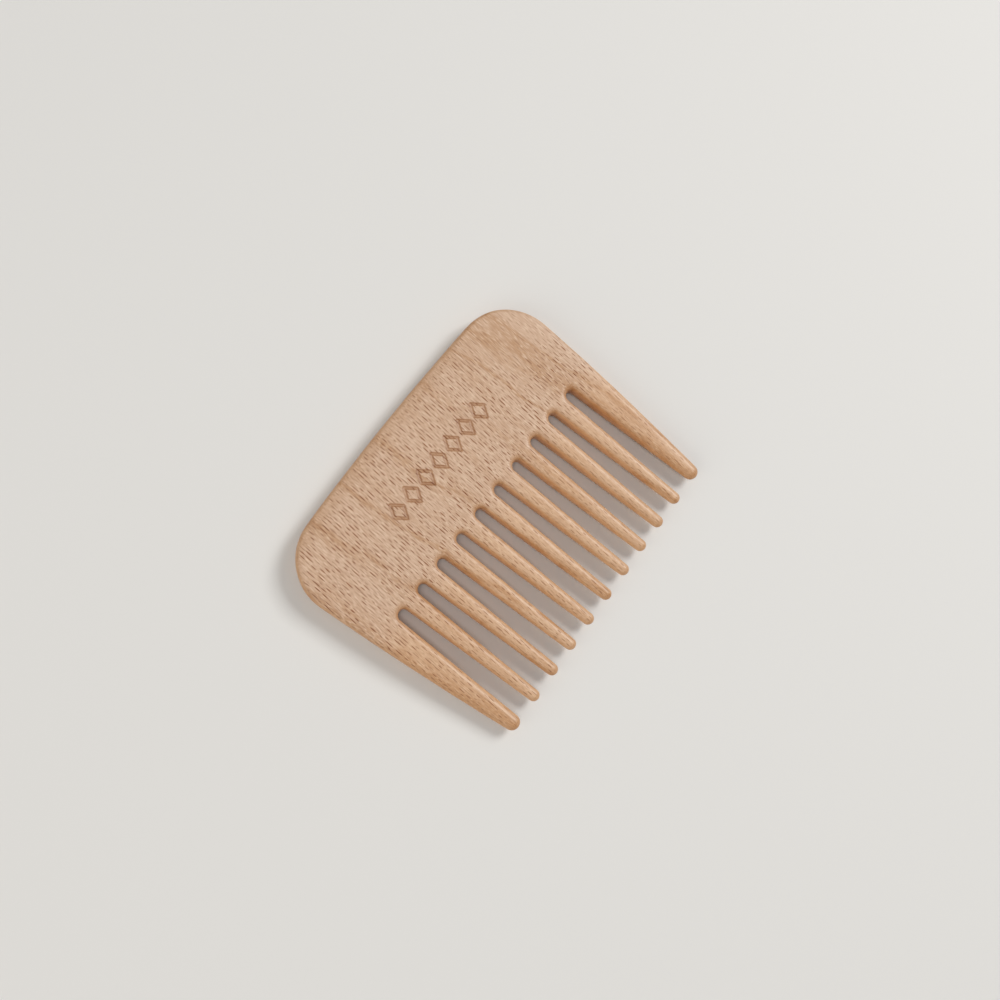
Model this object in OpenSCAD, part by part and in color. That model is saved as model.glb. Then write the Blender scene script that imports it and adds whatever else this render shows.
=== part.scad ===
// Wide-tooth hair comb, cut and sanded from one flat board of beech.
// The comb lies on its back face: X runs along the spine, Y points from the tooth tips
// to the spine and Z is the thickness. The origin is under the middle of the outline.

/* [Back] */
// How far the shoulders stand outside the middles of the outer tips
shoulder = 7.5; // [6:0.5:9]
// Thickness of the board
comb_t = 7.6; // [7:0.1:9]
// Height of the back, from the slot roots to the top of the spine
back_h = 38; // [34:0.5:44]
// Radius of the two corners beside the spine
corner_r = 17.5; // [14:0.5:19]
// Radius of the slightly bowed spine
spine_r = 825; // [600:25:1500]
// Radius of the slightly bowed sides
side_r = 1250; // [1000:50:2500]
// Width of the sanded bevels along the spine
bevel_w = 4.8; // [4:0.1:6]
// Depth of each bevel at the spine
bevel_d = 1; // [0.5:0.1:1.4]

/* [Teeth] */
// Narrow teeth on each side of the middle tooth
side_teeth = 4; // [3:1:6]
// Distance from one tooth to the next
tooth_pitch = 9.5; // [9:0.1:11]
// Length of the teeth, from the slot roots to the tips
tooth_len = 49; // [42:0.5:56]
// Width of a slot at its root
slot_w = 3.6; // [3.4:0.1:4]
// Width of a narrow tooth at its tip
tip_w = 3.8; // [3.6:0.1:4.2]
// Width of an outer tooth at its tip
outer_tip_w = 5; // [4.6:0.1:5.4]
// How far the outer tips stand outside the even pitch
outer_tip_shift = 0.7; // [0.4:0.1:1]
// Thickness of the teeth at their tips
tip_t = 3.8; // [3.6:0.1:5]
// Distance below the slot roots at which the teeth start to thin
taper_start = 9; // [5:0.5:16]

/* [Edges] */
// Rounding of every edge
edge_r = 1.6; // [1.2:0.1:1.7]

/* [Hidden] */
slot_r = slot_w / 2;
tip_r = tip_w / 2;
outer_tip_r = outer_tip_w / 2;
spine_y = tooth_len + back_h;
crease_y = spine_y - bevel_w;
taper_y = tooth_len - taper_start;
root_y = tooth_len - slot_r;
slot_top = tooth_len + edge_r;
outer_slot_c = [(side_teeth + 0.5) * tooth_pitch, root_y];
outer_tip_c = [(side_teeth + 1) * tooth_pitch + outer_tip_shift, outer_tip_r];

// Centres of the arcs of the right-hand edge. Each arc runs smoothly into the next one.
corner_x = outer_tip_c.x + shoulder - corner_r;
spine_c = [0, spine_y - spine_r];
corner_c = [corner_x, spine_c.y + sqrt((spine_r - corner_r) ^ 2 - corner_x ^ 2)];
side_c = bow_centre(corner_c, side_r - corner_r, outer_tip_c, side_r - outer_tip_r);
spine_end = heading(corner_c - spine_c);
side_top = heading(corner_c - side_c);
side_foot = heading(outer_tip_c - side_c);
outer_wall = heading(outer_slot_c - outer_tip_c)
    + acos((slot_r + outer_tip_r) / norm(outer_slot_c - outer_tip_c));

// A narrow tooth and the slot on its right share a wall that faces this way.
slot_step = [tooth_pitch / 2, root_y - tip_r];
wall = heading(slot_step) - acos((slot_r + tip_r) / norm(slot_step));

// Steps round each arc, half of each slot root and the rounded quarter of each edge.
slot_steps = 5;
tip_steps = 8;
edge_steps = 4;
edge_turns = [for (i = [0:edge_steps]) 90 * i / edge_steps];

// Slack for telling which points lie on a crease.
touch = 0.001;

function heading(v) = atan2(v.y, v.x);
function unit(a) = [cos(a), sin(a)];

// Centre of a bow, at distance rp from p, above, and rq from q, below.
function bow_centre(p, rp, q, rq) =
    let (
        gap = norm(q - p),
        along = (gap ^ 2 + rp ^ 2 - rq ^ 2) / (2 * gap),
        down = (q - p) / gap
    )
    p + along * down + sqrt(rp ^ 2 - along ^ 2) * [down.y, -down.x];

function arc(centre, r, from, to, steps) = [
    for (i = [0:steps]) centre + r * unit(from + (to - from) * i / steps)
];

// The same arc without its first point, to carry on from another arc.
function arc_on(centre, r, from, to, steps) = [
    for (i = [1:steps]) centre + r * unit(from + (to - from) * i / steps)
];

// The round end of a slot, with a point at its very top.
function slot_root(centre, r, from, to) =
    concat(arc(centre, r, from, 90, slot_steps), arc_on(centre, r, 90, to, slot_steps));

// The point at height y on the straight wall that touches a circle at angle a.
function on_wall(centre, r, a, y) =
    let (p = centre + r * unit(a))
    [p.x - (y - p.y) * tan(a), y];

// The right-hand point at height y on a circle.
function on_circle(centre, r, y) = [centre.x + sqrt(r ^ 2 - (y - centre.y) ^ 2), y];

// From the middle of the spine to the last slot, this far inside the outline.
function right_edge(inset) =
    let (crease = asin((crease_y - corner_c.y) / (corner_r - inset)))
    concat(
        arc(spine_c, spine_r - inset, 90, spine_end, 5),
        arc_on(corner_c, corner_r - inset, spine_end, crease, 5),
        arc_on(corner_c, corner_r - inset, crease, side_top, 8),
        [for (y = [slot_top, root_y, taper_y, taper_y / 2]) on_circle(side_c, side_r - inset, y)],
        arc(outer_tip_c, outer_tip_r - inset, side_foot, outer_wall - 360, tip_steps),
        [on_wall(outer_tip_c, outer_tip_r - inset, outer_wall, taper_y)],
        slot_root(outer_slot_c, slot_r + inset, outer_wall - 180, 180 + wall)
    );

// A narrow tooth, from its right-hand slot to its left-hand one, and that slot's root.
function narrow_tooth(x, inset) =
    let (tip_c = [x, tip_r], r = tip_r - inset)
    concat(
        [on_wall(tip_c, r, wall, taper_y)],
        arc(tip_c, r, wall, -180 - wall, tip_steps),
        [on_wall(tip_c, r, 180 - wall, taper_y)],
        slot_root([x - tooth_pitch / 2, root_y], slot_r + inset, -wall, 180 + wall)
    );

function middle_half_tooth(inset) =
    let (tip_c = [0, tip_r], r = tip_r - inset)
    concat([on_wall(tip_c, r, wall, taper_y)], arc(tip_c, r, wall, -90, tip_steps / 2));

function right_half(inset) =
    concat(
        right_edge(inset),
        [for (i = [side_teeth:-1:1]) each narrow_tooth(i * tooth_pitch, inset)],
        middle_half_tooth(inset)
    );

// The closed outline: the right half, and the left half without the two shared points.
function outline(inset) =
    let (half = right_half(inset))
    concat(half, [for (i = [len(half) - 2:-1:1]) [-half[i].x, half[i].y]]);

// Half the thickness at height y: thin tips, an even body and a bevelled spine.
function half_t(y) =
    y < taper_y ? lerp(tip_t / 2, comb_t / 2, y / taper_y)
    : y > crease_y ? comb_t / 2 - bevel_d * (y - crease_y) / bevel_w
    : comb_t / 2;

function lerp(a, b, share) = a + (b - a) * share;

// One loop round the comb, on its upper (1) or lower (-1) half, where the rounding of the
// edge has turned by this angle from upright.
function loop_at(turn, half) = [
    for (p = outline(edge_r * (1 - cos(turn))))
        [p.x, p.y, half * (half_t(p.y) - edge_r * (1 - sin(turn)))]
];

function between(v, low, high) = v > low - touch && v < high + touch;

// Which points of a loop lie at these heights, and within reach of x. The order stays.
function part_of(points, low, high, x = 0, reach = spine_r) = [
    for (i = [0:len(points) - 1])
        if (between(points[i].y, low, high) && between(points[i].x, x - reach, x + reach)) i
];

// Cuts an area whose two edges mirror each other into bars from edge to edge.
function bars(area) =
    let (n = len(area))
    [for (i = [0:n / 2 - 2]) [area[i], area[i + 1], area[n - 2 - i], area[n - 1 - i]]];

function last_first(list) = [list[len(list) - 1], for (i = [0:len(list) - 2]) list[i]];
function flipped(list) = [list[0], for (i = [len(list) - 1:-1:1]) list[i]];

// The areas inside the rounded edge. From its first point, each one is open to view.
function areas(face) =
    let (outer_x = (side_teeth + 1.5) * tooth_pitch)
    [
        part_of(face, crease_y, spine_y),
        part_of(face, slot_top, crease_y),
        part_of(face, taper_y, slot_top, outer_x, tooth_pitch),
        last_first(part_of(face, taper_y, slot_top, -outer_x, tooth_pitch)),
        for (x = [-outer_x, outer_x]) part_of(face, 0, taper_y, x, tooth_pitch),
        for (i = [-side_teeth:side_teeth])
            let (x = i * tooth_pitch)
            each concat(
                [part_of(face, 0, taper_y, x, tooth_pitch / 2)],
                bars(part_of(face, taper_y, slot_top, x, tooth_pitch / 2))
            )
    ];

// Loops round the edge from the upper face to the lower one, and the areas inside them.
module comb() {
    face = outline(edge_r);
    n = len(face);
    loops = [
        for (i = [edge_steps:-1:0]) loop_at(edge_turns[i], 1),
        for (turn = edge_turns) loop_at(turn, -1)
    ];
    last = len(loops) - 1;
    color("burlywood")
        translate([0, -spine_y / 2, comb_t / 2])
            polyhedron(
                points = [for (points = loops) each points],
                faces = [
                    each areas(face),
                    for (area = areas(face)) [for (i = flipped(area)) i + last * n],
                    for (j = [0:last - 1], i = [0:n - 1])
                        let (a = j * n + i, b = j * n + (i + 1) % n)
                        each [[a, a + n, b + n], [a, b + n, b]]
                ]
            );
}

comb();
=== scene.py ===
"""A wide-tooth hair comb of solid beech, lying on a pale floor in soft studio light.

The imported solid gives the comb's place and size. A copy of its mesh is made even and fine, and
drawn onto the smooth form that hand sanding leaves: oval teeth, soft edges and a bevelled spine.
Shapes are worked out in millimetres: x runs along the spine, y up from the tooth tips and z out
from the middle of the board.
"""

import bmesh
import bpy
import numpy as np
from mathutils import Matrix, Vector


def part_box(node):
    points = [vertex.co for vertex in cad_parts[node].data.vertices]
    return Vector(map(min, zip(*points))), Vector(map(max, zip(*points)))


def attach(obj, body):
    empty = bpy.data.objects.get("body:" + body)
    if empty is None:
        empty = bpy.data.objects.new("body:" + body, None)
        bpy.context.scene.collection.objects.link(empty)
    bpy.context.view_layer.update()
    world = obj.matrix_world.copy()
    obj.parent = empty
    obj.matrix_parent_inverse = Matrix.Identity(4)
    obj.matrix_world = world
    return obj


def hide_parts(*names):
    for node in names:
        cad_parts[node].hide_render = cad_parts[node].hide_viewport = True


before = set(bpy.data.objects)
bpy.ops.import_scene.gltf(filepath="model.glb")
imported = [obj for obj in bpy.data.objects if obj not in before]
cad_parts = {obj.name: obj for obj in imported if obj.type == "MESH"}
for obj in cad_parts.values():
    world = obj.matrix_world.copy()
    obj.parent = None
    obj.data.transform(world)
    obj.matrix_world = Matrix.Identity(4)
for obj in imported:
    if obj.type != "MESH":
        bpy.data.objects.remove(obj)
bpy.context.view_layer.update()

MM = 0.001
low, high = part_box("comb")
SPINE_Y = (high.y - low.y) / MM
HALF_T = (high.z - low.z) / MM / 2
TIPS_Y = low.y / MM
MIDDLE_Z = (low.z + high.z) / MM / 2

# Outline
PITCH = 9.5
SIDE_TEETH = 4
TOOTH_LENGTH = 49
SLOT_R = 1.8
TIP_R = 1.9
OUTER_TIP_R = 2.5
OUTER_TIP_SHIFT = 0.7
SHOULDER = 7.5
CORNER_R = 17.5
SPINE_R = 825
SIDE_R = 1250
ROOT_Y = TOOTH_LENGTH - SLOT_R

# Thickness
TIP_HALF_T = 1.9
TAPER_Y = 40
TAPER_BLEND = 0.8
BEVEL_W = 4.3
BEVEL_SLOPE = 0.21
BEVEL_BLEND = 0.25
BEVEL_FADE_X = (20, 44)

# How far the rounding reaches in from the outline, how square the sections are, and how deep
# sanding went
BACK_REACH = 3
SPINE_REACH = 1.4
SPINE_EDGE_Y = (75, 84)
TIP_POWER = 2
BODY_POWER = 3.4
SANDING = 0.06

# Ornament: a row of burnt lozenges
MARKS = 7
MARK_PITCH = 6.6
MARK_Y = 67.2
LOZENGE = (2.3, 3.2)
GROOVE_W = 0.95
GROOVE_D = 0.14

# Burn: its share on a groove's line and its rise beside it, and the distances from the line
# between which it rises and between which it ends
BURN_SHARE = (0.55, 0.3)
BURN_LINE = (0.05, 0.4)
BURN_END = (0.45, 0.65)

# Mesh: its voxel, the step for measuring slopes, how often the points are drawn in, evened and
# split, and the share of half the thickness from which a point belongs to the front
VOXEL = 0.55
STEP = 0.01
FIRST_PULL = 6
EVEN_ROUNDS = 4
EVEN_PULL = 2
ORNAMENT_CUTS = 2
LAST_PULL = 4
FRONT_SHARE = 0.9

# Grain: how far the fibres lean and dive into the board, how far the growth lines lean, and the
# height at which each of them stands at its own place
GRAIN_LEAN = 0.07
GRAIN_DIVE = 0.045
LINE_LEAN = 0.09
LINE_MIDDLE = 65

# Sizes across, along and into the board: of each noise, and of the cells and dashes of the pores
LINE_BEND = (30, 16, 30)
FIBRE_WANDER = (20, 80, 20)
PATCH = (3, 40, 3)
LINE_BREAK = (2, 9, 6)
FIBRE = (0.24, 2.6, 0.24)
LARGE_CELL = (0.98, 3.3, 0.36)
LARGE_DASH = (0.33, 3.4, 0.46)
SMALL_CELL = (0.73, 2.3, 0.3)
SMALL_DASH = (0.27, 2.1, 0.38)
SMALL_SHARE = 0.3

# How far the growth lines bend and the fibres wander to either side
BEND_REACH = 2.5
WANDER_REACH = 1.0

# Where pores fade, from and to, and by how much: at the right-hand corner, down the teeth, on
# the end grain and on the walls
FADE_X = (24.0, 42.0)
FADE_Y = (56.0, 74.0)
CORNER_FADE = 0.7
TEETH_X = (-30.0, 30.0)
TEETH_FADE = (0.28, 0.5)
PORE_TEETH_Y = (50.0, 38.0)
END_FADE = 0.75
WALL_FADE = 0.6

# Dashes: how far their rows are shuffled, their middle in a cell and their stretch, each as a
# spread and a least value, and the ramps of their edge and strength
CELL_SHUFFLE = 9.0
DASH_ACROSS = (0.5, 0.25)
DASH_ALONG = (0.3, 0.35)
DASH_STRETCH = (0.7, 0.5)
DASH_EDGE = (1.1, 0.7)
DASH_STRENGTH = (0.0, 0.9, 0.3, 1.0)

# Ramps of the tone: from, to and, where given, the values there
TONE_TEETH_Y = (54.0, 36.0)
BREAK_RAMP = (0.35, 0.6, 0.4, 1.2)
PATCH_RAMP = (0.3, 0.7, -0.1, 0.35)
FIBRE_RAMP = (0.5, 0.25, 0.0, 0.22)
GLINT_RAMP = (0.48, 0.72)
END_RAMP = (0.02, 0.45)
STEEP_RAMP = (1.0, 0.25)

# How strong the pale glints between the fibres are, and how much of that the teeth lose
GLINT_SHARE = 0.6
GLINT_TOOTH_LOSS = 0.25

# Finish: gloss, roughness and bump, whose height is in millimetres
SPECULAR = 0.5
BASE_ROUGH = 0.30
FIBRE_ROUGH = 0.2
PORE_ROUGH = 0.3
FIBRE_RELIEF = 0.4
BUMP_STRENGTH = 0.25
BUMP_HEIGHT = 0.04

# The place, half width and strength of each growth line
GROWTH_LINES = (
    (-56, 7, 1.2),
    (-37, 5, 0.5),
    (-36.2, 1.3, 0.8),
    (-22.8, 1.3, 1.0),
    (-6, 3, 0.45),
    (-6, 0.8, 0.5),
    (17, 3, 0.45),
    (31.8, 0.8, 1.2),
    (42, 8, 0.8),
    (47.4, 0.9, 1.0),
    (54, 4, -0.6),
)

# Tones: of the wood, its fibres and glints, and then the tints that multiply it; the wall tint is
# partly painted warm shade
PALE_TONE = (0.66, 0.447, 0.31, 1)
DEEP_TONE = (0.54, 0.315, 0.178, 1)
FIBRE_TONE = (0.34, 0.17, 0.075, 1)
GLINT_TONE = (0.86, 0.67, 0.50, 1)
FLECK_TONE = (0.35, 0.13, 0.0, 1)
TOOTH_TONE = (1.05, 1.0, 0.90, 1)
# Painted shade: walls and rims that face sideways turn deeper and warmer, partly the wood's own
# tone there
WALL_TONE_AND_PAINTED_SHADE = (1.04, 0.94, 0.76, 1)
END_TONE = (0.88, 0.81, 0.73, 1)
BURN_TONE = (0.55, 0.35, 0.17, 1)

# Stage: the floor in metres, the soft fill of the world, and the camera's lens, place in
# millimetres and turn in degrees
FLOOR_SIZE = 6
FLOOR_TONE = (0.80, 0.795, 0.78, 1)
FLOOR_ROUGH = 0.9
FILL_TONE = (1.0, 1.0, 1.0, 1)
FILL_STRENGTH = 0.26
LENS = 36
SENSOR = 36
CAMERA_PLACE = (-65.292, 20.555, 300.938)
CAMERA_TURN = (8.11288, -10.65713, -53.07285)

# The name, place in metres, size, power and colour of each light
LIGHTS = (
    ("key", (1.08, -0.42, 1.10), 0.6, 14.5, (1.0, 0.985, 0.96)),
    ("fill", (-1.10, 0.30, 0.60), 1.2, 6.0, (1.0, 0.92, 0.80)),
    ("top", (-0.34, 0.11, 1.56), 0.5, 4.1, (0.98, 0.99, 1.0)),
)


def heading(v):
    return np.arctan2(v[1], v[0])


def bow_centre(p, p_gap, q, q_gap):
    """Centre of a bow, at distance p_gap from p, above, and q_gap from q, below."""
    span = np.hypot(*(q - p))
    along = (span**2 + p_gap**2 - q_gap**2) / (2 * span)
    down = (q - p) / span
    return p + along * down + np.sqrt(p_gap**2 - along**2) * np.array([down[1], -down[0]])


OUTER_TIP = np.array([(SIDE_TEETH + 1) * PITCH + OUTER_TIP_SHIFT, OUTER_TIP_R])
OUTER_SLOT = np.array([(SIDE_TEETH + 0.5) * PITCH, ROOT_Y])
SPINE_C = np.array([0, SPINE_Y - SPINE_R])
CORNER_X = OUTER_TIP[0] + SHOULDER - CORNER_R
CORNER_C = np.array([CORNER_X, SPINE_C[1] + np.sqrt((SPINE_R - CORNER_R) ** 2 - CORNER_X**2)])
SIDE_C = bow_centre(CORNER_C, SIDE_R - CORNER_R, OUTER_TIP, SIDE_R - OUTER_TIP_R)


def inside_arc(centre, radius, x, y):
    """Depth inside a circle."""
    return radius - np.hypot(x - centre[0], y - centre[1])


def blank_depth(x, y):
    """Depth inside the outline of the board, before its slots are cut."""
    x = np.abs(x)
    edges = np.minimum(inside_arc(SPINE_C, SPINE_R, x, y), inside_arc(SIDE_C, SIDE_R, x, y))
    turn = np.arctan2(y - CORNER_C[1], x - CORNER_C[0])
    at_corner = (turn > heading(CORNER_C - SIDE_C)) & (turn < heading(CORNER_C - SPINE_C))
    return np.where(at_corner, inside_arc(CORNER_C, CORNER_R, x, y), edges)


def flank_depth(across, y, tip, tip_r, slot):
    """Depth inside the flank that runs from a round tooth tip up to a round slot root."""
    span = slot - tip
    facing = heading(span) - np.arccos((SLOT_R + tip_r) / np.hypot(*span))
    out = np.cos(facing), np.sin(facing)
    up = -out[1], out[0]
    climb = (across - tip[0]) * up[0] + (y - tip[1]) * up[1]
    flank = tip_r - (across - tip[0]) * out[0] - (y - tip[1]) * out[1]
    below, above = climb < 0, climb > span @ np.array(up)
    return np.select(
        [below, above],
        [inside_arc(tip, tip_r, across, y), -inside_arc(slot, SLOT_R, across, y)],
        flank,
    )


def outline_depth(x, y):
    """Depth inside the finished outline."""
    nearest = np.clip(np.round(x / PITCH), -SIDE_TEETH, SIDE_TEETH) * PITCH
    narrow = flank_depth(
        np.abs(x - nearest), y, np.array([0, TIP_R]), TIP_R, np.array([PITCH / 2, ROOT_Y])
    )
    mirror = np.array([-1, 1])
    outer = flank_depth(-np.abs(x), y, OUTER_TIP * mirror, OUTER_TIP_R, OUTER_SLOT * mirror)
    teeth = np.where(np.abs(x) < OUTER_SLOT[0], narrow, outer)
    return np.minimum(teeth, blank_depth(x, y))


def ease(x, start, end):
    """Rises smoothly from 0 at start to 1 at end."""
    share = np.clip((x - start) / (end - start), 0, 1)
    return share * share * (3 - 2 * share)


def soft_min(a, b, blend):
    """The smaller of a and b, with the crease between them rounded off."""
    share = np.clip(0.5 + 0.5 * (b - a) / blend, 0, 1)
    return b + (a - b) * share - blend * share * (1 - share)


def half_thickness(x, y):
    """Thin tips, an even body and a bevelled spine."""
    taper = TIP_HALF_T + (HALF_T - TIP_HALF_T) * y / TAPER_Y
    body = soft_min(taper, HALF_T, TAPER_BLEND)
    width = BEVEL_W * (1 - ease(x, *BEVEL_FADE_X))
    bevel = HALF_T - BEVEL_SLOPE * (width - inside_arc(SPINE_C, SPINE_R, x, y))
    return soft_min(body, bevel, BEVEL_BLEND)


def mark_distance(x, y):
    """Distance to the line of the nearest lozenge of the ornament."""
    middle = (MARKS - 1) / 2
    index = np.clip(np.round(x / MARK_PITCH + middle), 0, MARKS - 1)
    x, y = np.abs(x - (index - middle) * MARK_PITCH), np.abs(y - MARK_Y)
    wide, tall = LOZENGE
    share = np.clip((tall * (tall - y) + wide * x) / (wide**2 + tall**2), 0, 1)
    return np.hypot(x - wide * share, y - tall * (1 - share))


def groove(x, y):
    """Depth of the ornament's grooves, with round bottoms."""
    share = np.clip(2 * mark_distance(x, y) / GROOVE_W, 0, 1)
    return GROOVE_D * (1 - share**2) ** 1.5


def burn_share(x, y, z):
    """How burnt the wood is: less on the line of each groove than beside it, and only in front."""
    gap = mark_distance(x, y)
    least, rise = BURN_SHARE
    burn = ease(gap, *BURN_LINE) * rise + least
    return np.where(z > 0, burn * (1 - ease(gap, *BURN_END)), 0)


def unevenness(x, y, z):
    """The slight waves that hand sanding leaves, as a depth below the true form.

    The numbers set how long the waves are, and keep them from lining up.
    """
    slow = np.sin(0.31 * x + 0.9 * np.sin(0.17 * y)) * np.sin(0.23 * y + 0.4 * z)
    quick = np.sin(0.83 * x + 0.7 * z + 1.3) * np.sin(0.52 * y + 1.7 * np.sin(0.29 * x))
    return SANDING * (1 + 0.6 * slow + 0.4 * quick) / 2


def form(points):
    """Below 0 inside the comb, 0 on its surface and above 0 outside."""
    x, y, z = points.T
    worn = unevenness(x, y, z)
    height = np.clip(y / ROOT_Y, 0, 1)
    tip_reach = np.where(np.abs(x) < OUTER_SLOT[0], TIP_R, OUTER_TIP_R)
    reach = tip_reach + (BACK_REACH - tip_reach) * height
    reach -= (BACK_REACH - SPINE_REACH) * ease(y, *SPINE_EDGE_Y)
    power = TIP_POWER + (BODY_POWER - TIP_POWER) * height
    half_t = half_thickness(x, y) - np.where(z > 0, groove(x, y) + worn / 2, 0)
    edge = np.maximum(0, 1 - (outline_depth(x, y) - worn) / reach)
    return edge**power + (np.abs(z) / half_t) ** power - 1


def form_slope(points):
    """Which way, and how fast, the form rises."""
    steps = STEP * np.eye(3)
    return np.stack([form(points + s) - form(points - s) for s in steps], axis=1) / (2 * STEP)


def drawn_in(points, rounds):
    """The points, moved onto the surface of the form."""
    for _ in range(rounds):
        slope = form_slope(points)
        points = points - slope * (form(points) / np.sum(slope**2, axis=1))[:, None]
    return points


def evened(points, edges, rounds):
    """The points, spread evenly over the surface."""
    ends = np.concatenate([edges, edges[:, ::-1]])
    count = np.bincount(ends[:, 0], minlength=len(points))[:, None]
    for _ in range(rounds):
        pull = np.zeros_like(points)
        np.add.at(pull, ends[:, 0], points[ends[:, 1]])
        pull = pull / count - points
        slope = form_slope(points)
        slope /= np.linalg.norm(slope, axis=1)[:, None]
        pull -= slope * np.sum(pull * slope, axis=1)[:, None]
        points = drawn_in(points + pull / 2, EVEN_PULL)
    return points


def read_points(mesh):
    co = np.empty(len(mesh.vertices) * 3)
    mesh.vertices.foreach_get("co", co)
    return co.reshape(-1, 3) / MM - [0, TIPS_Y, MIDDLE_Z]


def write_points(mesh, points):
    co = (points + [0, TIPS_Y, MIDDLE_Z]) * MM
    mesh.vertices.foreach_set("co", co.ravel())


def read_edges(mesh):
    edges = np.empty(len(mesh.edges) * 2, int)
    mesh.edges.foreach_get("vertices", edges)
    return edges.reshape(-1, 2)


def even_copy(node):
    """A copy of a CAD node with an even, fine mesh."""
    piece = bpy.data.objects.new("comb_body", node.data.copy())
    bpy.context.scene.collection.objects.link(piece)
    remesh = piece.modifiers.new("even", "REMESH")
    remesh.mode = "VOXEL"
    remesh.voxel_size = VOXEL * MM
    made = piece.evaluated_get(bpy.context.evaluated_depsgraph_get())
    piece.data = bpy.data.meshes.new_from_object(made)
    piece.modifiers.clear()
    return piece


def refine_ornament(mesh, cuts):
    """Splits the faces round the grooves, so that they hold the ornament."""
    for _ in range(cuts):
        points = read_points(mesh)
        near = (points[:, 2] > FRONT_SHARE * HALF_T) & (mark_distance(*points.T[:2]) < GROOVE_W)
        work = bmesh.new()
        work.from_mesh(mesh)
        work.verts.ensure_lookup_table()
        edges = [e for e in work.edges if near[e.verts[0].index] and near[e.verts[1].index]]
        bmesh.ops.subdivide_edges(work, edges=edges, cuts=1, use_grid_fill=True)
        work.to_mesh(mesh)
        work.free()


def add_value(mesh, name, values):
    """Keeps one number for each point of the mesh, for its material to read."""
    attribute = mesh.attributes.new(name, "FLOAT", "POINT")
    attribute.data.foreach_set("value", values.astype(np.float32))


def add_place(mesh, name, places):
    """Keeps one vector for each point of the mesh, for its material to read."""
    attribute = mesh.attributes.new(name, "FLOAT_VECTOR", "POINT")
    attribute.data.foreach_set("vector", places.astype(np.float32).ravel())


def make_comb():
    piece = even_copy(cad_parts["comb"])
    mesh = piece.data
    points = drawn_in(read_points(mesh), FIRST_PULL)
    write_points(mesh, evened(points, read_edges(mesh), EVEN_ROUNDS))
    refine_ornament(mesh, ORNAMENT_CUTS)
    points = drawn_in(read_points(mesh), LAST_PULL)
    write_points(mesh, points)
    add_value(mesh, "burn", burn_share(*points.T))
    add_place(mesh, "place", points)
    mesh.shade_smooth()
    mesh.update()
    return piece


# Materials


def add_node(tree, kind, inputs=None, **settings):
    """A node with these settings. Each input takes a number, a colour or another node's output."""
    made = tree.nodes.new(kind)
    for name, value in settings.items():
        setattr(made, name, value)
    for name, value in (inputs or {}).items():
        if isinstance(value, bpy.types.NodeSocket):
            tree.links.new(value, made.inputs[name])
        else:
            made.inputs[name].default_value = value
    return made


def sums(tree, operation, *values):
    made = add_node(tree, "ShaderNodeMath", dict(enumerate(values)), operation=operation)
    return made.outputs[0]


def vector_sums(tree, operation, *values):
    made = add_node(tree, "ShaderNodeVectorMath", dict(enumerate(values)), operation=operation)
    return made.outputs["Value" if operation == "LENGTH" else "Vector"]


def blend_colours(tree, share, first, second, blend_type="MIX"):
    made = add_node(tree, "ShaderNodeMix", data_type="RGBA", blend_type=blend_type)
    for index, value in ((0, share), (6, first), (7, second)):
        if isinstance(value, bpy.types.NodeSocket):
            tree.links.new(value, made.inputs[index])
        else:
            made.inputs[index].default_value = value
    return made.outputs[2]


def ramp(tree, value, low_in, high_in, low_out=0.0, high_out=1.0):
    """A value, mapped smoothly from one range to another."""
    names = ("Value", "From Min", "From Max", "To Min", "To Max")
    inputs = dict(zip(names, (value, low_in, high_in, low_out, high_out)))
    made = add_node(tree, "ShaderNodeMapRange", inputs, interpolation_type="SMOOTHSTEP")
    return made.outputs["Result"]


def noise(tree, place, stretch, detail, seed):
    """Noise whose spots are as long, in millimetres, as stretch says on each axis."""
    scaled = vector_sums(tree, "DIVIDE", place, stretch)
    inputs = {"Vector": scaled, "W": seed, "Scale": 1.0, "Detail": detail}
    return add_node(tree, "ShaderNodeTexNoise", inputs, noise_dimensions="4D").outputs["Fac"]


def swing(tree, place, stretch, reach, detail, seed):
    """Noise that swings from -reach to reach."""
    return sums(tree, "MULTIPLY_ADD", noise(tree, place, stretch, detail, seed), 2 * reach, -reach)


def fade(tree, value, share, loss):
    """A value, less this loss where the share is 1."""
    return sums(tree, "MULTIPLY", value, sums(tree, "MULTIPLY_ADD", share, -loss, 1.0))


def shuffled(tree, value, chance):
    """A place along one axis, moved by a random step, so that rows of cells don't line up."""
    return sums(tree, "MULTIPLY_ADD", chance, CELL_SHUFFLE, value)


def dash_cells(tree, grain, cell, seed):
    """The cell that each point lies in, as its number, and the place along the cells."""
    place = vector_sums(tree, "DIVIDE", grain, cell)
    place = add_node(tree, "ShaderNodeSeparateXYZ", {"Vector": place}).outputs
    column = sums(tree, "FLOOR", place["X"])
    stack = add_node(tree, "ShaderNodeTexWhiteNoise", {"W": column}, noise_dimensions="1D")
    height = shuffled(tree, place["Z"], stack.outputs["Value"])
    layer = sums(tree, "FLOOR", height)
    row = add_node(tree, "ShaderNodeCombineXYZ", {"X": column, "Y": layer, "Z": seed})
    row = add_node(tree, "ShaderNodeTexWhiteNoise", {"Vector": row.outputs[0]})
    length = shuffled(tree, place["Y"], row.outputs["Value"])
    index = {"X": column, "Y": sums(tree, "FLOOR", length), "Z": layer}
    index = add_node(tree, "ShaderNodeCombineXYZ", index).outputs[0]
    return index, (place["X"], length, height)


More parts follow.
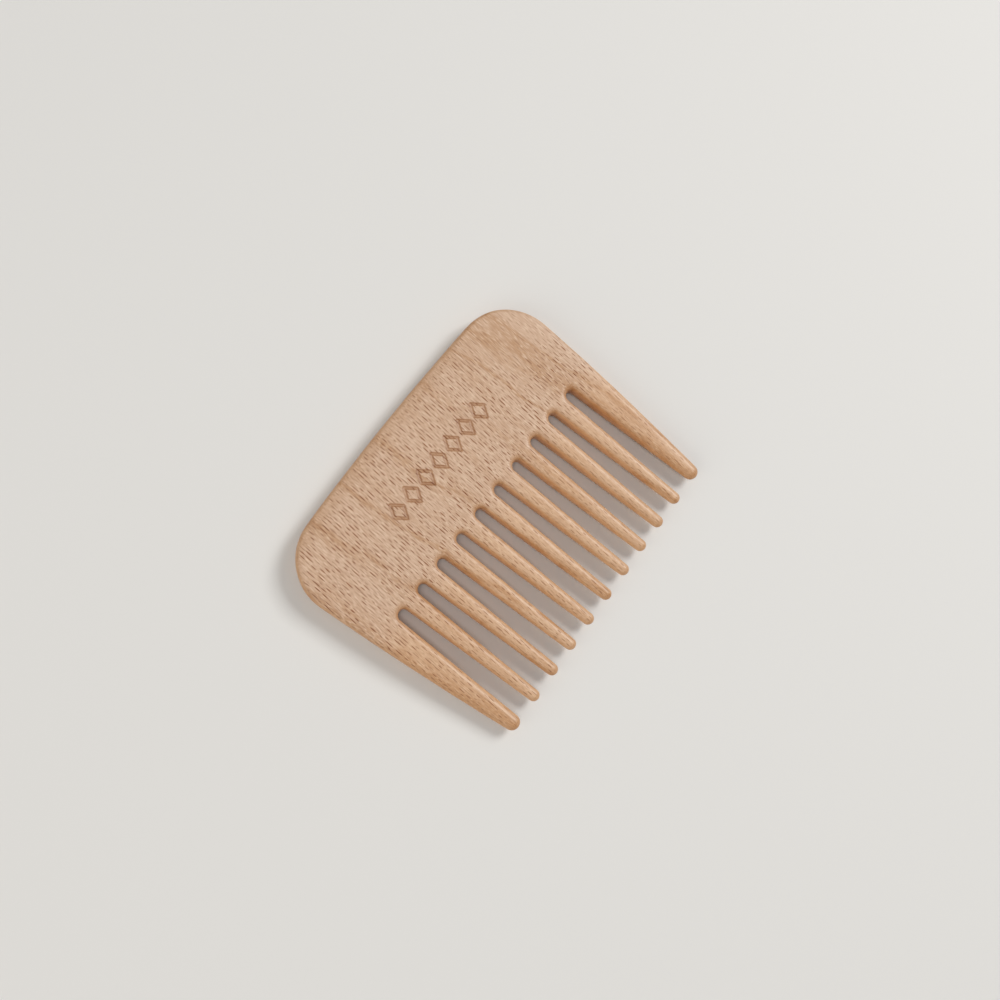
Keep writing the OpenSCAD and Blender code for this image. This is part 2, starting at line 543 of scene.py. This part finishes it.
def flecks(tree, grain, cell, size, seed):
    """Dashes along the grain, one to a cell, each with its own place, length and strength."""
    index, (across, length, height) = dash_cells(tree, grain, cell, seed)
    dice = {"Vector": index, "W": seed}
    dice = add_node(tree, "ShaderNodeTexWhiteNoise", dice, noise_dimensions="4D").outputs
    chance = add_node(tree, "ShaderNodeSeparateColor", {"Color": dice["Color"]}).outputs
    middle_x = sums(tree, "MULTIPLY_ADD", chance["Red"], *DASH_ACROSS)
    middle_y = sums(tree, "MULTIPLY_ADD", chance["Green"], *DASH_ALONG)
    stretch = sums(tree, "MULTIPLY_ADD", chance["Blue"], *DASH_STRETCH)
    gap_x = sums(tree, "SUBTRACT", sums(tree, "FRACT", across), middle_x)
    gap_y = sums(tree, "SUBTRACT", sums(tree, "FRACT", length), middle_y)
    gap_z = sums(tree, "SUBTRACT", sums(tree, "FRACT", height), 0.5)
    gap = {"X": gap_x, "Y": sums(tree, "DIVIDE", gap_y, stretch), "Z": gap_z}
    gap = add_node(tree, "ShaderNodeCombineXYZ", gap).outputs[0]
    shape = [2 * gaps / widths for gaps, widths in zip(cell, size)]
    gap = vector_sums(tree, "LENGTH", vector_sums(tree, "MULTIPLY", gap, shape))
    strength = ramp(tree, dice["Value"], *DASH_STRENGTH)
    return sums(tree, "MULTIPLY", ramp(tree, gap, *DASH_EDGE), strength)


def growth_tone(tree, across):
    """How deep the tone is across the board, from the growth lines that cross it."""
    tone = 0.0
    for place, width, strength in GROWTH_LINES:
        gap = sums(tree, "ABSOLUTE", sums(tree, "SUBTRACT", across, place))
        tone = sums(tree, "ADD", tone, ramp(tree, gap, width, 0.0, 0.0, strength))
    return tone


def facing(tree, axis):
    """How squarely the surface faces along this axis, either way."""
    normal = add_node(tree, "ShaderNodeNewGeometry").outputs["Normal"]
    split = add_node(tree, "ShaderNodeSeparateXYZ", {"Vector": normal})
    return sums(tree, "ABSOLUTE", split.outputs[axis])


def across_lines(tree, place, x, y):
    """The distance across the board, bent and leant with the growth lines."""
    bend = swing(tree, place, LINE_BEND, BEND_REACH, detail=2.0, seed=4.0)
    lean = sums(tree, "MULTIPLY_ADD", y, -LINE_LEAN, LINE_LEAN * LINE_MIDDLE)
    return sums(tree, "SUBTRACT", x, sums(tree, "ADD", lean, bend))


def along_fibres(tree, place, x, y, z):
    """The place in the board, turned so that its y runs along the fibres."""
    wander = swing(tree, place, FIBRE_WANDER, WANDER_REACH, detail=1.0, seed=1.0)
    drift = sums(tree, "SUBTRACT", wander, sums(tree, "MULTIPLY", y, GRAIN_LEAN))
    turned = {"X": sums(tree, "ADD", x, drift), "Y": y}
    turned["Z"] = sums(tree, "MULTIPLY_ADD", y, GRAIN_DIVE, z)
    return add_node(tree, "ShaderNodeCombineXYZ", turned).outputs[0]


def wood_tone(tree, line_across, grain, fibres, tooth):
    """The wood's own colour, from its growth lines, patches and fibres."""
    breaks = ramp(tree, noise(tree, grain, LINE_BREAK, detail=1.0, seed=9.0), *BREAK_RAMP)
    lines = sums(tree, "MULTIPLY", growth_tone(tree, line_across), breaks)
    patches = ramp(tree, noise(tree, grain, PATCH, detail=2.0, seed=3.0), *PATCH_RAMP)
    tone = blend_colours(tree, sums(tree, "ADD", lines, patches), PALE_TONE, DEEP_TONE)
    tone = blend_colours(tree, ramp(tree, fibres, *FIBRE_RAMP), tone, FIBRE_TONE)
    glints = sums(tree, "MULTIPLY_ADD", tooth, -GLINT_TOOTH_LOSS, GLINT_SHARE)
    glints = sums(tree, "MULTIPLY", glints, ramp(tree, fibres, *GLINT_RAMP))
    return blend_colours(tree, glints, tone, GLINT_TONE)


def pores(tree, grain, x, y, end_grain, steep):
    """Large and small dashes, fainter at the right-hand corner, on the teeth and on the walls."""
    large = flecks(tree, grain, LARGE_CELL, LARGE_DASH, seed=0.0)
    small = flecks(tree, grain, SMALL_CELL, SMALL_DASH, seed=5.0)
    dashes = sums(tree, "MAXIMUM", large, sums(tree, "MULTIPLY", small, SMALL_SHARE))
    corner = sums(tree, "MULTIPLY", ramp(tree, x, *FADE_X), ramp(tree, y, *FADE_Y))
    teeth = ramp(tree, x, *TEETH_X, *TEETH_FADE)
    teeth = sums(tree, "MULTIPLY", teeth, ramp(tree, y, *PORE_TEETH_Y))
    hidden = sums(tree, "MAXIMUM", sums(tree, "MULTIPLY", corner, CORNER_FADE), teeth)
    dashes = fade(tree, dashes, hidden, 1.0)
    dashes = fade(tree, dashes, end_grain, END_FADE)
    return fade(tree, dashes, steep, WALL_FADE)


def add_finish(tree, shader, fibres, dashes):
    """Satin oiled wood, with the fibres raised a little and the pores open and duller."""
    shader.inputs["Specular IOR Level"].default_value = SPECULAR
    rough = sums(tree, "MULTIPLY_ADD", fibres, FIBRE_ROUGH, BASE_ROUGH)
    rough = sums(tree, "MULTIPLY_ADD", dashes, PORE_ROUGH, rough)
    tree.links.new(rough, shader.inputs["Roughness"])
    relief = sums(tree, "SUBTRACT", sums(tree, "MULTIPLY", fibres, FIBRE_RELIEF), dashes)
    bump = add_node(tree, "ShaderNodeBump", {"Height": relief, "Strength": BUMP_STRENGTH})
    bump.inputs["Distance"].default_value = BUMP_HEIGHT * MM
    tree.links.new(bump.outputs["Normal"], shader.inputs["Normal"])


def beech_material():
    material = bpy.data.materials.new("beech")
    material.use_nodes = True
    tree = material.node_tree
    shader = tree.nodes["Principled BSDF"]
    place = add_node(tree, "ShaderNodeAttribute", attribute_name="place").outputs["Vector"]
    split = add_node(tree, "ShaderNodeSeparateXYZ", {"Vector": place}).outputs
    x, y, z = split["X"], split["Y"], split["Z"]

    grain = along_fibres(tree, place, x, y, z)
    fibres = noise(tree, grain, FIBRE, detail=1.0, seed=7.0)
    tooth = ramp(tree, y, *TONE_TEETH_Y)
    end_grain = ramp(tree, facing(tree, "Y"), *END_RAMP)
    steep = ramp(tree, facing(tree, "Z"), *STEEP_RAMP)
    dashes = pores(tree, grain, x, y, end_grain, steep)
    burn = add_node(tree, "ShaderNodeAttribute", attribute_name="burn").outputs["Fac"]
    tone = wood_tone(tree, across_lines(tree, place, x, y), grain, fibres, tooth)
    tints_and_painted_shade = (
        (dashes, FLECK_TONE),
        (tooth, TOOTH_TONE),
        # painted shade: steep walls take a deeper, warmer tone, partly their own
        (steep, WALL_TONE_AND_PAINTED_SHADE),
        (end_grain, END_TONE),
        (burn, BURN_TONE),
    )
    for share, tint in tints_and_painted_shade:
        tone = blend_colours(tree, share, tone, tint, "MULTIPLY")
    tree.links.new(tone, shader.inputs["Base Color"])
    add_finish(tree, shader, fibres, dashes)
    return material


def floor_material():
    material = bpy.data.materials.new("pale_floor")
    material.use_nodes = True
    shader = material.node_tree.nodes["Principled BSDF"]
    shader.inputs["Base Color"].default_value = FLOOR_TONE
    shader.inputs["Roughness"].default_value = FLOOR_ROUGH
    return material


# Stage


def make_floor():
    bpy.ops.mesh.primitive_plane_add(size=FLOOR_SIZE, location=(0, 0, 0))
    floor = bpy.context.object
    floor.name = "floor"
    floor.data.materials.append(floor_material())


def make_light(name, place, size, power, colour):
    lamp = bpy.data.lights.new(name, "AREA")
    lamp.size = size
    lamp.energy = power
    lamp.color = colour
    light = bpy.data.objects.new(name, lamp)
    light.location = place
    light.rotation_euler = light.location.to_track_quat("Z", "Y").to_euler()
    bpy.context.scene.collection.objects.link(light)


def make_world():
    world = bpy.data.worlds.new("soft_fill")
    world.use_nodes = True
    background = world.node_tree.nodes["Background"]
    background.inputs["Color"].default_value = FILL_TONE
    background.inputs["Strength"].default_value = FILL_STRENGTH
    bpy.context.scene.world = world


def make_camera():
    lens = bpy.data.cameras.new("camera")
    lens.lens = LENS
    lens.sensor_width = SENSOR
    camera = bpy.data.objects.new("camera", lens)
    camera.location = np.array(CAMERA_PLACE) * MM
    camera.rotation_euler = np.radians(CAMERA_TURN)
    bpy.context.scene.collection.objects.link(camera)
    bpy.context.scene.camera = camera


comb = make_comb()
comb.data.materials.clear()
comb.data.materials.append(beech_material())
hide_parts("comb")
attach(comb, "root")

make_floor()
make_world()
for light in LIGHTS:
    make_light(*light)
make_camera()
bpy.context.scene.view_settings.view_transform = "Standard"
